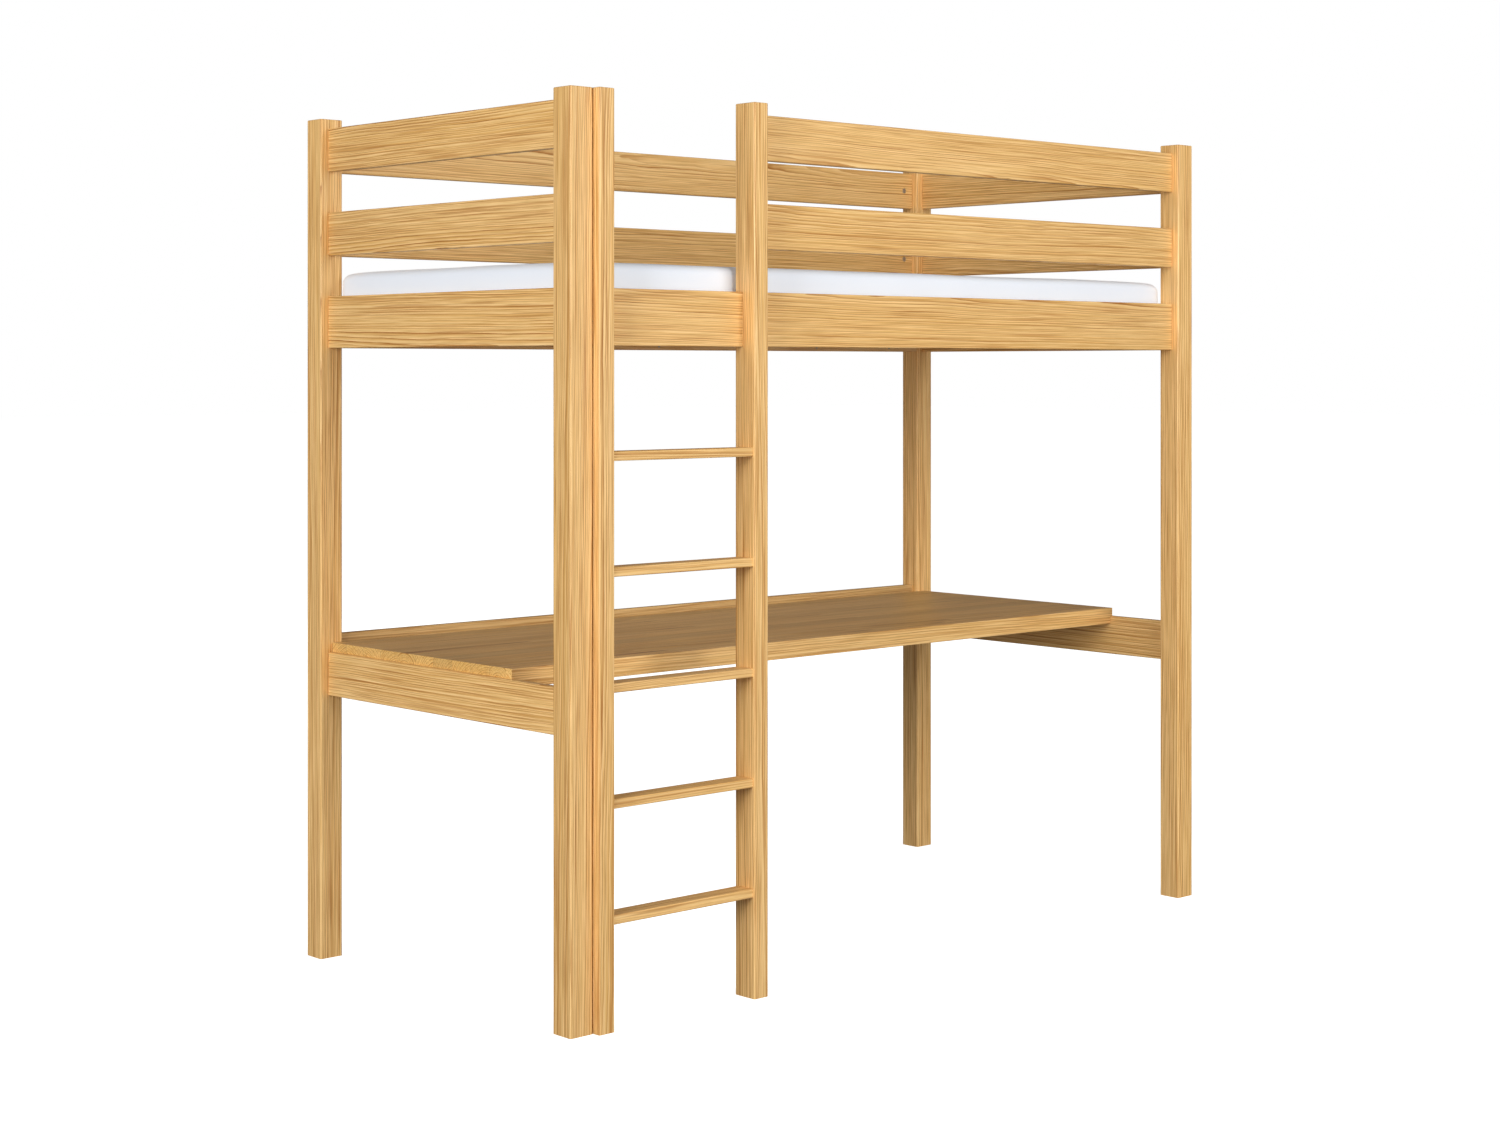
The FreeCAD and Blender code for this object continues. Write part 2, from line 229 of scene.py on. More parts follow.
# pine: growth rings round a heart line that runs along each piece, cut by the piece's faces
pine = {
    "pale": linear(252, 212, 152),
    "ground": linear(236, 188, 116),
    "warm": linear(214, 157, 80),
    "line": linear(170, 102, 28),
    "sawn": (0.86, 0.80, 0.72, 1.0),  # laid over sawn ends
    "sawnDesk": (1.08, 1.10, 1.02, 1.0),
    "sawnStops": [(0.75, 0.0), (0.97, 1.0)],  # how squarely a face must cross the grain
    # cycles per metre along and across the grain, and how far the heart line bends, in metres
    "wander": (
        (0.8, 2.5, 0.030),
        (3.5, 10.0, 0.0060),
        (13.0, 38.0, 0.0016),
        (40.0, 120.0, 0.0005),
    ),
    "fibreSize": (9.0, 400.0),
    "streakSize": (4.0, 350.0),
    "goodYears": 0.31,  # how often the ring gap changes from ring to ring
    "goodYearRings": 2.6,
    # across one ring, from one late-wood line to the next
    "lateStops": [(0.0, 0.6), (0.04, 0.0), (0.62, 0.0), (0.80, 0.45), (0.90, 1.0), (1.0, 1.0)],
    "earlyStops": [(0.0, 0.0), (0.06, 1.0), (0.28, 0.6), (0.55, 0.0), (1.0, 0.0)],
    "ringStops": [(0.0, 0.40), (0.5, 0.65), (0.8, 0.95), (1.0, 1.0)],  # faint to strong rings
    "darkStreakStops": [(0.55, 0.0), (0.66, 1.0)],
    "paleStreakStops": [(0.34, 1.0), (0.45, 0.0)],
    # how much each layer shows
    "drift": 0.7,
    "stripe": 0.30,
    "early": 0.75,
    "paleStreak": 0.45,
    "darkStreak": 0.38,
    "late": 0.85,
    "fibreShade": (0.60, 0.72, 1.10),  # the darker fibres are also the warmer ones
    "fibreLift": 1.01,
    "roughness": 0.46,
    "fibreRough": 0.14,
    "lateRough": -0.06,
    "lateHeight": 0.6,
    "fibreHeight": 0.8,
    "bump": (0.25, 0.0004),  # strength, depth in metres
}

# layers of noise in the wood: cycles per metre along and across the grain, and their ramp
woodLayers = {
    "fade": (3.5, 60.0, [(0.32, 0.30), (0.60, 1.0)]),
    "drift": (0.7, 12.0, [(0.30, 0.0), (0.70, 1.0)]),
    "stripe": (1.4, 150.0, [(0.35, 0.0), (0.65, 1.0)]),
}


def woodLayer(tree, place, name):
    along, across, stops = woodLayers[name]
    return ramp(tree, grainNoise(tree, place, along, across).outputs["Fac"], stops)


def buildPineGroup():
    tree = bpy.data.node_groups.new("pineGrain", "ShaderNodeTree")
    sockets = (
        ("INPUT", "Place", "NodeSocketVector"),
        ("INPUT", "Heart", "NodeSocketVector"),
        ("INPUT", "Shift", "NodeSocketFloat"),
        ("INPUT", "Ring gap", "NodeSocketFloat"),
        ("INPUT", "Taper", "NodeSocketFloat"),
        ("INPUT", "Figure", "NodeSocketFloat"),
        ("INPUT", "Contrast", "NodeSocketFloat"),
        ("OUTPUT", "Color", "NodeSocketColor"),
        ("OUTPUT", "Roughness", "NodeSocketFloat"),
        ("OUTPUT", "Height", "NodeSocketFloat"),
    )
    for direction, name, kind in sockets:
        tree.interface.new_socket(name, in_out=direction, socket_type=kind)
    given = tree.nodes.new("NodeGroupInput").outputs
    result = tree.nodes.new("NodeGroupOutput").inputs

    # the piece's own stretch of the log
    slide = addNode(tree, "CombineXYZ", {"X": given["Shift"], "Y": given["Shift"]}).outputs[0]
    place = vectorCalc(tree, "ADD", given["Place"], slide)

    # the heart line wanders slowly, and the rings ripple a little round it
    bend = None
    for along, across, size in pine["wander"]:
        wave = grainNoise(tree, place, along, across, 1.0).outputs["Color"]
        wave = vectorCalc(tree, "SUBTRACT", wave, (0.5, 0.5, 0.5))
        wave = vectorCalc(tree, "MULTIPLY", wave, (0.0, size, size))
        bend = wave if bend is None else vectorCalc(tree, "ADD", bend, wave)
    scaling = {0: bend, "Scale": given["Figure"]}
    bend = addNode(tree, "VectorMath", scaling, operation="SCALE").outputs[0]
    section = vectorCalc(tree, "SUBTRACT", given["Place"], given["Heart"])
    section = vectorCalc(tree, "MULTIPLY", section, (0.0, 1.0, 1.0))
    section = vectorCalc(tree, "ADD", section, bend)
    radius = addNode(tree, "VectorMath", {0: section}, operation="LENGTH").outputs["Value"]
    alongPiece = split(tree, given["Place"])["X"]
    radius = calc(tree, "MULTIPLY_ADD", alongPiece, given["Taper"], radius)
    count = calc(tree, "DIVIDE", radius, given["Ring gap"])
    years = {"W": count, "Scale": pine["goodYears"], "Detail": 1.0}
    uneven = addNode(tree, "TexNoise", years, noise_dimensions="1D").outputs["Fac"]
    count = calc(tree, "MULTIPLY_ADD", uneven, pine["goodYearRings"], count)

    # within a ring: pale early wood, then a thin late-wood line with a sharp outer edge
    part = calc(tree, "FRACT", count)
    late = ramp(tree, part, pine["lateStops"])
    early = ramp(tree, part, pine["earlyStops"])
    ring = calc(tree, "FLOOR", count)
    strong = addNode(tree, "TexWhiteNoise", {"W": ring}, noise_dimensions="1D").outputs["Value"]
    strong = ramp(tree, strong, pine["ringStops"])
    fade = woodLayer(tree, place, "fade")
    late = calc(tree, "MULTIPLY", late, calc(tree, "MULTIPLY", strong, fade))

    # slow colour drift, stripes along the piece, fine fibres and short streaks
    drift = woodLayer(tree, place, "drift")
    stripe = woodLayer(tree, place, "stripe")
    fibre = grainNoise(tree, place, *pine["fibreSize"], 3.0, 0.6).outputs["Fac"]
    streak = grainNoise(tree, place, *pine["streakSize"], 1.0).outputs["Fac"]
    darkStreak = ramp(tree, streak, pine["darkStreakStops"])
    paleStreak = ramp(tree, streak, pine["paleStreakStops"])
    contrast = given["Contrast"]

    def scaled(value, amount):
        return calc(tree, "MULTIPLY", calc(tree, "MULTIPLY", value, amount), contrast, clamp=True)

    drift = calc(tree, "MULTIPLY", drift, pine["drift"])
    colour = mixColour(tree, drift, pine["ground"], pine["pale"])
    colour = mixColour(tree, scaled(stripe, pine["stripe"]), colour, pine["warm"])
    colour = mixColour(tree, scaled(early, pine["early"]), colour, pine["pale"])
    colour = mixColour(tree, scaled(paleStreak, pine["paleStreak"]), colour, pine["pale"])
    colour = mixColour(tree, scaled(darkStreak, pine["darkStreak"]), colour, pine["line"])
    colour = mixColour(tree, scaled(late, pine["late"]), colour, pine["line"])
    shade = calc(tree, "MULTIPLY", calc(tree, "SUBTRACT", fibre, 0.5), contrast)
    shades = {}
    for channel, depth in enumerate(pine["fibreShade"]):
        shades[channel] = calc(tree, "MULTIPLY_ADD", shade, depth, pine["fibreLift"])
    shade = addNode(tree, "CombineColor", shades).outputs[0]
    colour = mixColour(tree, 1.0, colour, shade, "MULTIPLY")
    tree.links.new(colour, result["Color"])

    smoothest = pine["roughness"] - pine["fibreRough"] / 2
    rough = calc(tree, "MULTIPLY_ADD", fibre, pine["fibreRough"], smoothest)
    rough = calc(tree, "MULTIPLY_ADD", late, pine["lateRough"], rough)
    tree.links.new(rough, result["Roughness"])
    height = calc(tree, "MULTIPLY", fibre, pine["fibreHeight"])
    height = calc(tree, "MULTIPLY_ADD", late, pine["lateHeight"], height)
    tree.links.new(height, result["Height"])
    return tree


grainOrder = {"X": ("X", "Y", "Z"), "Y": ("Y", "Z", "X"), "Z": ("Z", "X", "Y")}


def grainPlace(tree, axis, middle):
    # coordinates from the piece's middle, with X turned to run along its grain
    place = addNode(tree, "TexCoord").outputs["Object"]
    parts = split(tree, vectorCalc(tree, "SUBTRACT", place, middle))
    first, second, third = grainOrder[axis]
    turned = {"X": parts[first], "Y": parts[second], "Z": parts[third]}
    return addNode(tree, "CombineXYZ", turned).outputs[0]


def endShade(tree, axis):
    # 1 on sawn ends, where the grain comes out of the face
    normal = addNode(tree, "TexCoord").outputs["Normal"]
    toward = split(tree, normal)[axis]
    return ramp(tree, calc(tree, "ABSOLUTE", toward), pine["sawnStops"])


def finishShader(tree, colour, rough, height, tint, bump):
    shader = tree.nodes["Principled BSDF"]
    colour = mixColour(tree, 1.0, colour, tint, "MULTIPLY")
    tree.links.new(colour, shader.inputs["Base Color"])
    tree.links.new(rough, shader.inputs["Roughness"])
    strength, distance = bump
    relief = addNode(tree, "Bump", {"Strength": strength, "Distance": distance, "Height": height})
    tree.links.new(relief.outputs[0], shader.inputs["Normal"])


# the desk panel is glued from staves
staves = {
    "width": 0.070,
    "heartAside": 0.06,  # farthest that a heart lies from the middle of its stave
    "heartDown": -0.02,
    "heartDeeper": -0.07,
    "shiftStart": 20.0,
    "shiftStep": 3.7,
    "darkest": 0.92,
    "toneSpread": 0.16,
    "glueStops": [(0.488, 1.0), (0.498, 0.72)],  # a fine dark line between two staves
}


def cutStaves(tree, place, group):
    # every stave is its own stretch of wood with its own tone, which this returns
    width, aside = staves["width"], staves["heartAside"]
    across = split(tree, place)["Y"]
    number = calc(tree, "FLOOR", calc(tree, "DIVIDE", across, width))
    chance = addNode(tree, "TexWhiteNoise", {"W": number}, noise_dimensions="1D").outputs["Color"]
    chance = split(tree, chance)
    centre = calc(tree, "MULTIPLY", calc(tree, "ADD", number, 0.5), width)
    side = calc(tree, "MULTIPLY_ADD", chance["X"], 2 * aside, calc(tree, "ADD", centre, -aside))
    depth = calc(tree, "MULTIPLY_ADD", chance["Y"], staves["heartDeeper"], staves["heartDown"])
    heart = addNode(tree, "CombineXYZ", {"Y": side, "Z": depth}).outputs[0]
    tree.links.new(heart, group.inputs["Heart"])
    shift = calc(tree, "MULTIPLY_ADD", number, staves["shiftStep"], staves["shiftStart"])
    tree.links.new(shift, group.inputs["Shift"])
    tone = calc(tree, "MULTIPLY_ADD", chance["Z"], staves["toneSpread"], staves["darkest"])
    edge = calc(tree, "ABSOLUTE", calc(tree, "SUBTRACT", across, centre))
    edge = ramp(tree, calc(tree, "DIVIDE", edge, width), staves["glueStops"])
    return grey(tree, calc(tree, "MULTIPLY", tone, edge))


# how each kind of piece was sawn: grain direction, how far off the heart is, ring gap and
# taper of the log, how much the grain wanders and how strongly it shows
pieceKinds = {
    "upright": {
        "axis": "Z", "heart": (0.06, 0.12), "ringGap": 0.0038,
        "taper": 0.010, "figure": 0.85, "contrast": 1.35,
    },
    "rung": {
        "axis": "X", "heart": (0.05, 0.11), "ringGap": 0.0048,
        "taper": 0.006, "figure": 0.8, "contrast": 1.10,
    },
    "alongBoard": {
        "axis": "X", "heart": (0.04, 0.11), "ringGap": 0.0042,
        "taper": 0.010, "figure": 1.0, "contrast": 1.10,
    },
    "strip": {
        "axis": "X", "heart": (0.07, 0.12), "ringGap": 0.0046,
        "taper": 0.010, "figure": 1.0, "contrast": 1.05,
    },
    "endBoard": {
        "axis": "Y", "heart": (0.04, 0.11), "ringGap": 0.0044,
        "taper": 0.012, "figure": 1.0, "contrast": 1.30,
    },
    "panel": {
        "axis": "X", "heart": (0.04, 0.11), "ringGap": 0.0062,
        "taper": 0.012, "figure": 0.9, "contrast": 1.00,
    },
    "batten": {
        "axis": "X", "heart": (0.04, 0.11), "ringGap": 0.0048,
        "taper": 0.008, "figure": 0.8, "contrast": 0.90,
    },
    "slat": {
        "axis": "Y", "heart": (0.04, 0.11), "ringGap": 0.0048,
        "taper": 0.012, "figure": 0.8, "contrast": 0.90,
    },
}
# oil over the wood, none on what lies under the mattress
oiled = (1.0, 0.98, 0.88)
raw = (0.97, 1.0, 1.12)
otherTints = {"batten": raw, "slat": raw, "panel": (1.0, 0.96, 0.80)}
# how far one piece may differ from the next
variety = {
    "seed": 7,
    "shift": (0.0, 40.0),
    "ringGap": (0.85, 1.2),
    "taper": (0.6, 1.4),
    "bright": (0.98, 1.02),
}
# pieces made darker or paler than the rest to match how lit they look, which is painted light and
# shade; on the desk panel and its back rail it is painted shade from the bed above
paintedLightAndShade = {
    "post_front_left": 0.94,
    "post_front_right": 1.05,
    "post_back_right": 1.08,
    "ladder_stile_left": 0.95,
    "rung_1": 1.05,
    "guard_back_upper": 0.96,
    "desk_rail_left": 1.04,
    "guard_left_middle": 0.97,
    "desk_rail_back": 0.74,
    "desk_panel": 0.84,
}


def kindOf(name):
    # post_screws counts as an upright here and turns to steel in finishSteel
    if name.startswith(("post", "ladder_stile")):
        return "upright"
    if name.startswith("rung") and not name.endswith("dowels"):
        return "rung"
    if name.startswith("slat_") and name[5:].isdigit():
        return "slat"
    if name.startswith(("bed_board", "guard", "desk_rail")):
        return "endBoard" if "_left" in name or "_right" in name else "alongBoard"
    if name.startswith("slat_batten"):
        return "batten"
    if name == "desk_panel":
        return "panel"
    if name == "desk_front_strip":
        return "strip"
    return None


def woodMaterial(name, kind, middle, look, tint):
    axis = pieceKinds[kind]["axis"]
    material = bpy.data.materials.new(name + "_wood")
    material.use_nodes = True
    tree = material.node_tree
    place = grainPlace(tree, axis, middle)
    group = addNode(tree, "Group", {"Place": place, **look}, node_tree=pineGroup)
    colour = group.outputs["Color"]
    if kind == "panel":
        colour = mixColour(tree, 1.0, colour, cutStaves(tree, place, group), "MULTIPLY")
    sawn = pine["sawnDesk" if kind in ("panel", "strip") else "sawn"]
    colour = mixColour(tree, endShade(tree, axis), colour, sawn, "MULTIPLY")
    rough, height = group.outputs["Roughness"], group.outputs["Height"]
    finishShader(tree, colour, rough, height, tint, pine["bump"])
    return material


def finishWood():
    draw = random.Random(variety["seed"])
    count = 0
    for name in sorted(cadNodes):
        kind = kindOf(name)
        if kind is None:
            continue
        style = pieceKinds[kind]
        low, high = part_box(name)
        side = [draw.choice((-1, 1)) * draw.uniform(*style["heart"]) for _ in range(2)]
        shift = draw.uniform(*variety["shift"])
        ringGap = style["ringGap"] * draw.uniform(*variety["ringGap"])
        taper = style["taper"] * draw.choice((-1, 1)) * draw.uniform(*variety["taper"])
        look = {
            "Heart": (0.0, side[0], side[1]),
            "Shift": shift,
            "Ring gap": ringGap,
            "Taper": taper,
            "Figure": style["figure"],
            "Contrast": style["contrast"],
        }
        # bright holds the painted light and shade of each piece, times a little random tone
        bright = paintedLightAndShade.get(name, 1.0) * draw.uniform(*variety["bright"])
        tint = [bright * part for part in otherTints.get(kind, oiled)] + [1.0]
        wear(cadNodes[name], woodMaterial(name, kind, (low + high) / 2, look, tint))
        count += 1
    print("wood on", count, "pieces")


# beech dowels: pale, with short darker flecks; grain and fleck are cycles per metre
beech = {
    "pale": linear(222, 188, 146),
    "dark": linear(196, 154, 108),
    "fleck": linear(150, 104, 66),
    "grainSize": (60.0, 900.0),
    "fleckSize": (500.0, 2200.0),
    "fleckStops": [(0.60, 0.0), (0.68, 1.0)],
    "fleckDepth": 0.6,
    "roughness": 0.5,
    "grainRough": 0.2,
    "bump": (0.3, 0.0002),
}


def finishDowels():
    material = bpy.data.materials.new("beechDowel")
    material.use_nodes = True
    tree = material.node_tree
    place = addNode(tree, "TexCoord").outputs["Object"]
    grain = grainNoise(tree, place, *beech["grainSize"], 3.0).outputs["Fac"]
    fleck = grainNoise(tree, place, *beech["fleckSize"], 1.0).outputs["Fac"]
    fleck = calc(tree, "MULTIPLY", ramp(tree, fleck, beech["fleckStops"]), beech["fleckDepth"])
    colour = mixColour(tree, grain, beech["pale"], beech["dark"])
    colour = mixColour(tree, fleck, colour, beech["fleck"])
    rough = calc(tree, "MULTIPLY_ADD", grain, beech["grainRough"], beech["roughness"])
    finishShader(tree, colour, rough, grain, white, beech["bump"])
    for name in ("joint_dowels", "rung_dowels", "strip_dowels"):
        wear(cadNodes[name], material)
    print("dowels finished")


# zinc-plated screws, studs, cams and brackets
zinc = {
    "bright": linear(206, 209, 214),
    "dull": linear(164, 168, 174),
    "cloudSize": 90.0,
    "spangleSize": 420.0,
    "scratchSize": (40.0, 1800.0),
    "spangleDull": 0.5,
    "cloudDull": 0.7,
    "smoothest": 0.18,
    "cloudRough": 0.14,
    "scratchRough": 0.16,
    "bump": (0.2, 0.0001),
}


def finishSteel():
    material = bpy.data.materials.new("zincSteel")
    material.use_nodes = True
    tree = material.node_tree
    tree.nodes["Principled BSDF"].inputs["Metallic"].default_value = 1.0
    place = addNode(tree, "TexCoord").outputs["Object"]
    cloudy = {"Vector": place, "Scale": zinc["cloudSize"], "Detail": 4.0}
    cloud = addNode(tree, "TexNoise", cloudy).outputs["Fac"]
    cells = {"Vector": place, "Scale": zinc["spangleSize"]}
    spangle = addNode(tree, "TexVoronoi", cells).outputs["Distance"]
    scratch = grainNoise(tree, place, *zinc["scratchSize"]).outputs["Fac"]
    mottle = calc(tree, "MULTIPLY", cloud, zinc["cloudDull"])
    mottle = calc(tree, "MULTIPLY_ADD", spangle, zinc["spangleDull"], mottle, clamp=True)
    colour = mixColour(tree, mottle, zinc["bright"], zinc["dull"])
    rough = calc(tree, "MULTIPLY_ADD", cloud, zinc["cloudRough"], zinc["smoothest"])
    rough = calc(tree, "MULTIPLY_ADD", scratch, zinc["scratchRough"], rough)
    finishShader(tree, colour, rough, scratch, white, zinc["bump"])
    count = 0
    for name in sorted(cadNodes):
        if name.endswith(("_screws", "_studs", "_locks")) or name.startswith("desk_bracket"):
            wear(cadNodes[name], material)
            count += 1
    print("steel on", count, "pieces")


# mattress: foam in a zipped cover, sizes in metres
mattress = {
    "inset": 0.001,  # how much smaller the cover starts than the space it fills
    "corner": 0.043,
    "edge": 0.020,
    "cell": 0.030,
    "cornerSteps": 5,
    "edgeSteps": 4,
    "pressure": 0.05,
    "stiffness": 80.0,
    "bending": 10.0,
    "mass": 1.0,
    "airDamping": 5.0,
    "quality": 6,
    "frames": 20,
    "cap": 0.006,
    "crown": 0.005,
    "crownSharp": (30, 12),  # how late the crown falls off towards the ends and sides
    "cornerFall": 0.014,
    "cornerSharp": (36, 12),
    # waves over the top and the sides, in radians per metre
    "crease": 0.0009,
    "longCrease": (9, 5, 2.0),  # along, how quickly it sways, how far it sways
    "crossCrease": (7, 4, 1.5),
    "ripple": 0.0008,
    "rippleWaves": ((21, 17), (6.3, -11)),
    "seam": 0.0025,
    "seamHalf": 0.006,  # how far above and below the zip the cover is pulled in
    "endZone": 0.06,  # a point this near an end or a side moves with it
    "flatUnder": 0.0004,
    "piping": 0.0022,
    "pipingSunk": 0.0005,
    "pipingSteps": 8,
}


def gridLines(low, high, rounding, steps, cell):
    # close together where the form is rounded, wider between
    fine = [rounding * step / steps for step in range(steps)]
    count = max(2, round((high - low - 2 * rounding) / cell))
    span = (high - low - 2 * rounding) / count
    middle = [low + rounding + span * step for step in range(count + 1)]
    return [low + away for away in fine] + middle + [high - away for away in reversed(fine)]


def inside(point, low, high, n):
    # one coordinate, held a corner's radius inside the block
    corner = mattress["corner"]
    return min(max(point[n], low[n] + corner), high[n] - corner)


def roundedPoint(point, low, high):
    # plan corners take one radius, and the rims above and below a smaller one
    corner, edge = mattress["corner"], mattress["edge"]
    core = Vector((inside(point, low, high, n) for n in range(2)))
    away = Vector((point.x, point.y)) - core
    reach = max(abs(away.x), abs(away.y))
    level = min(max(point.z, low.z + edge), high.z - edge)
    side, rise = reach - (corner - edge), point.z - level
    if side > 0 and rise != 0:
        size = max(side, abs(rise))
        bent = Vector((side, rise)).normalized() * size
        reach, rise = corner - edge + bent.x, bent.y
    if away.length > 0:
        away = away.normalized() * reach
    return Vector((core.x + away.x, core.y + away.y, level + rise))


def roundedBlock(name, low, high):
    corner, edge, cell = mattress["corner"], mattress["edge"], mattress["cell"]
    lines = [gridLines(low[n], high[n], corner, mattress["cornerSteps"], cell) for n in range(2)]
    lines.append(gridLines(low.z, high.z, edge, mattress["edgeSteps"], cell))
    steps = [len(line) - 1 for line in lines]
    found = {}
    mesh = bmesh.new()

    def gridPoint(index):
        if index not in found:
            point = Vector((lines[n][index[n]] for n in range(3)))
            found[index] = mesh.verts.new(roundedPoint(point, low, high))
        return found[index]

    for axis in range(3):
        u, v = (axis + 1) % 3, (axis + 2) % 3
        for end in (0, steps[axis]):
            for a in range(steps[u]):
                for b in range(steps[v]):
                    ring = []
                    for da, db in ((0, 0), (1, 0), (1, 1), (0, 1)):
                        index = [0, 0, 0]
                        index[axis], index[u], index[v] = end, a + da, b + db
                        ring.append(gridPoint(tuple(index)))
                    mesh.faces.new(ring if end else ring[::-1])
    data = bpy.data.meshes.new(name)
    mesh.to_mesh(data)
    mesh.free()
    block = bpy.data.objects.new(name, data)
    scene.collection.objects.link(block)
    return block


def inflate(block):
    # the foam pushes the cover out; no point may move farther than the cap
    start = [point.co.copy() for point in block.data.vertices]
    cloth = block.modifiers.new("fill", "CLOTH")
    settings = cloth.settings
    settings.quality = mattress["quality"]
    settings.mass = mattress["mass"]
    settings.tension_stiffness = settings.compression_stiffness = mattress["stiffness"]
    settings.shear_stiffness = mattress["stiffness"]
    settings.bending_stiffness = mattress["bending"]
    settings.air_damping = mattress["airDamping"]
    settings.use_pressure = True
    settings.uniform_pressure_force = mattress["pressure"]
    settings.effector_weights.gravity = 0.0
    cloth.collision_settings.use_self_collision = False
    for number in range(1, mattress["frames"] + 1):
        scene.frame_set(number)
    shaped = block.evaluated_get(bpy.context.evaluated_depsgraph_get()).to_mesh()
    moved = [point.co.copy() for point in shaped.vertices]
    block.modifiers.remove(cloth)
    farthest, capped = 0.0, 0
    for point, first, last in zip(block.data.vertices, start, moved):
        move = last - first
        farthest = max(farthest, move.length)
        if move.length > mattress["cap"]:
            move = move.normalized() * mattress["cap"]
            capped += 1
        point.co = first + move
    scene.frame_set(1)
    print("cover swelled by up to", round(farthest * 1000, 2), "mm,", capped, "points capped")


def coverRise(co, u, v):
    # crown, fallen corners and faint creases; u and v run from 0 in the middle to 1 at the rim
    crown = mattress["crown"]
    for place, sharp in zip((u, v), mattress["crownSharp"]):
        crown = crown * (1 - place ** sharp)
    fall = mattress["cornerFall"]
    for place, sharp in zip((u, v), mattress["cornerSharp"]):
        fall = fall * place ** sharp
    crease = 1.0
    for name, along, across in (("longCrease", co.x, co.y), ("crossCrease", co.y, co.x)):
        wave, sway, swayDepth = mattress[name]
        crease = crease * math.sin(along * wave + swayDepth * math.sin(across * sway))
    return crown - fall + mattress["crease"] * crease


def coverPull(co, zipHeight):
    # how far a side is drawn in: most at the zip's seam, a slight ripple elsewhere
    ripple = 1.0
    for waveX, waveY in mattress["rippleWaves"]:
        ripple = ripple * math.sin(co.x * waveX + co.y * waveY)
    pinch = math.exp(-((co.z - zipHeight) / mattress["seamHalf"]) ** 2)
    return mattress["seam"] * pinch - mattress["ripple"] * ripple * (1 - pinch)


def shapeCover(block, low, high, zipHeight):
    # flat underneath, and nowhere wider than the space the mattress has
    middle = (low + high) / 2
    half = (high - low) / 2
    for point in block.data.vertices:
        co = point.co
        u = min(abs(co.x - middle.x) / half.x, 1.0)
        v = min(abs(co.y - middle.y) / half.y, 1.0)
        above = max(0.0, (co.z - middle.z) / half.z)
        co.z += above * coverRise(co, u, v)
        outward = Vector((co.x - middle.x, co.y - middle.y, 0.0))
        if abs(co.x - middle.x) < half.x - mattress["endZone"]:
            outward.x = 0.0
        if abs(co.y - middle.y) < half.y - mattress["endZone"]:
            outward.y = 0.0
        if outward.length > 0:
            co -= outward.normalized() * coverPull(co, zipHeight)
        core = [inside(co, low, high, n) for n in range(2)]
        away = Vector((co.x - core[0], co.y - core[1]))
        if away.length > mattress["corner"]:
            away = away.normalized() * mattress["corner"]
            co.x, co.y = core[0] + away.x, core[1] + away.y
        co.z = max(co.z, low.z + mattress["flatUnder"])


def zipPiping(low, high, zipHeight):
    # a thin cord round the cover where the zip is sewn in
    inset = mattress["seam"] + mattress["pipingSunk"]
    rounding, steps = mattress["corner"], mattress["pipingSteps"]
    middle = (low + high) / 2
    x1, y1 = (high.x - low.x) / 2 - inset, (high.y - low.y) / 2 - inset
    path = []
    for sx, sy, first in ((1, 1, 0), (-1, 1, 90), (-1, -1, 180), (1, -1, 270)):
        for step in range(steps + 1):
            turn = math.radians(first + step * 90 / steps)
            x = sx * (x1 - rounding) + rounding * math.cos(turn)
            y = sy * (y1 - rounding) + rounding * math.sin(turn)
            path.append((middle.x + x, middle.y + y, zipHeight, 1.0))
    curve = bpy.data.curves.new("mattress_piping", "CURVE")
    curve.dimensions = "3D"
    curve.bevel_depth = mattress["piping"]
    curve.bevel_resolution = 3
    line = curve.splines.new("POLY")
    line.points.add(len(path) - 1)
    for point, place in zip(line.points, path):
        point.co = place
    line.use_cyclic_u = True
    cord = bpy.data.objects.new("mattress_piping", curve)
    scene.collection.objects.link(cord)
    return cord


# the cover's white knit: loops along each axis, soft clouds and fuzz
knit = {
    "colour": linear(240, 246, 255),
    "paintedGlow": 0.03,  # painted glow: the cover gives off a little bluish light so the white looks brighter lit
    "paintedGlowColour": (0.80, 0.90, 1.0, 1.0),
    "sheen": 0.25,
    "sheenRoughness": 0.5,
    "loops": (("X", 2100.0), ("Y", 2100.0), ("Z", 2600.0)),  # radians per metre
    "loopHeight": 0.2,
    "cloudSize": 5.0,
    "fuzzSize": 700.0,
    "darkest": 0.945,
    "cloudShade": 0.05,
    "fuzzShade": 0.06,
    "roughness": 0.75,
    "fuzzRough": 0.2,
    "bump": (0.35, 0.0005),
}


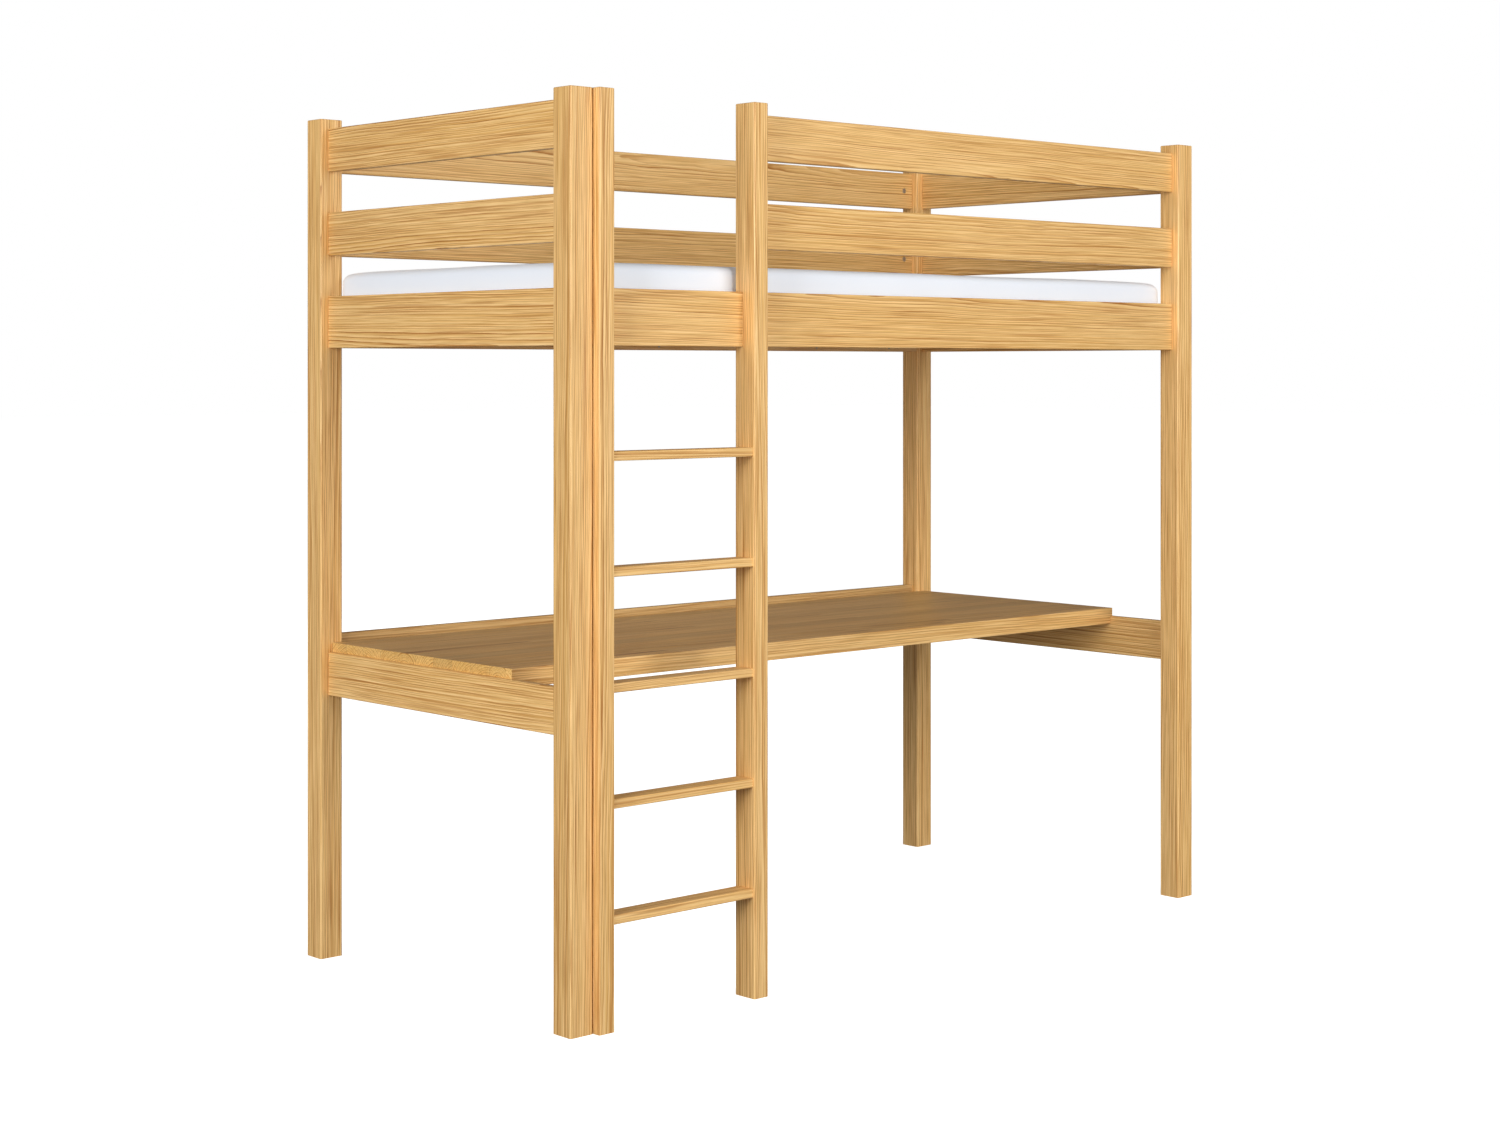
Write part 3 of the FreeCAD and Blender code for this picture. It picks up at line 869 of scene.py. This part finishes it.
def coverMaterial():
    material = bpy.data.materials.new("knitCover")
    material.use_nodes = True
    tree = material.node_tree
    shader = tree.nodes["Principled BSDF"]
    # painted glow: a faint emission that lifts the white cover as if it were lit more brightly
    shader.inputs["Emission Color"].default_value = knit["paintedGlowColour"]
    shader.inputs["Emission Strength"].default_value = knit["paintedGlow"]
    shader.inputs["Sheen Weight"].default_value = knit["sheen"]
    shader.inputs["Sheen Roughness"].default_value = knit["sheenRoughness"]
    place = addNode(tree, "TexCoord").outputs["Object"]
    parts = split(tree, place)
    loops = None
    for name, size in knit["loops"]:
        wave = calc(tree, "SINE", calc(tree, "MULTIPLY", parts[name], size))
        loops = wave if loops is None else calc(tree, "ADD", loops, wave)
    cloudy = {"Vector": place, "Scale": knit["cloudSize"], "Detail": 3.0}
    cloud = addNode(tree, "TexNoise", cloudy).outputs["Fac"]
    fuzzy = {"Vector": place, "Scale": knit["fuzzSize"], "Detail": 2.0}
    fuzz = addNode(tree, "TexNoise", fuzzy).outputs["Fac"]
    height = calc(tree, "MULTIPLY_ADD", loops, knit["loopHeight"], fuzz)
    shade = calc(tree, "MULTIPLY_ADD", fuzz, knit["fuzzShade"], knit["darkest"])
    shade = calc(tree, "MULTIPLY_ADD", cloud, knit["cloudShade"], shade)
    rough = calc(tree, "MULTIPLY_ADD", fuzz, knit["fuzzRough"], knit["roughness"])
    finishShader(tree, grey(tree, shade), rough, height, knit["colour"], knit["bump"])
    return material


def makeMattress():
    low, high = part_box("mattress")
    edge = Vector((mattress["inset"],) * 3)
    zipHeight = (low.z + high.z) / 2
    cover = roundedBlock("mattress_cover", low + edge, high - edge)
    inflate(cover)
    shapeCover(cover, low, high, zipHeight)
    smooth = cover.modifiers.new("smooth", "SUBSURF")
    smooth.levels = smooth.render_levels = 1
    material = coverMaterial()
    piping = zipPiping(low, high, zipHeight)
    for piece in (cover, piping):
        piece.data.materials.append(material)
    cover.data.polygons.foreach_set("use_smooth", [True] * len(cover.data.polygons))
    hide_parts("mattress")
    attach(cover, "mattress")
    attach(piping, "mattress")
    print("mattress made,", len(cover.data.vertices), "points")


placeCamera()
buildStudio()
pineGroup = buildPineGroup()
finishWood()
finishDowels()
finishSteel()
makeMattress()
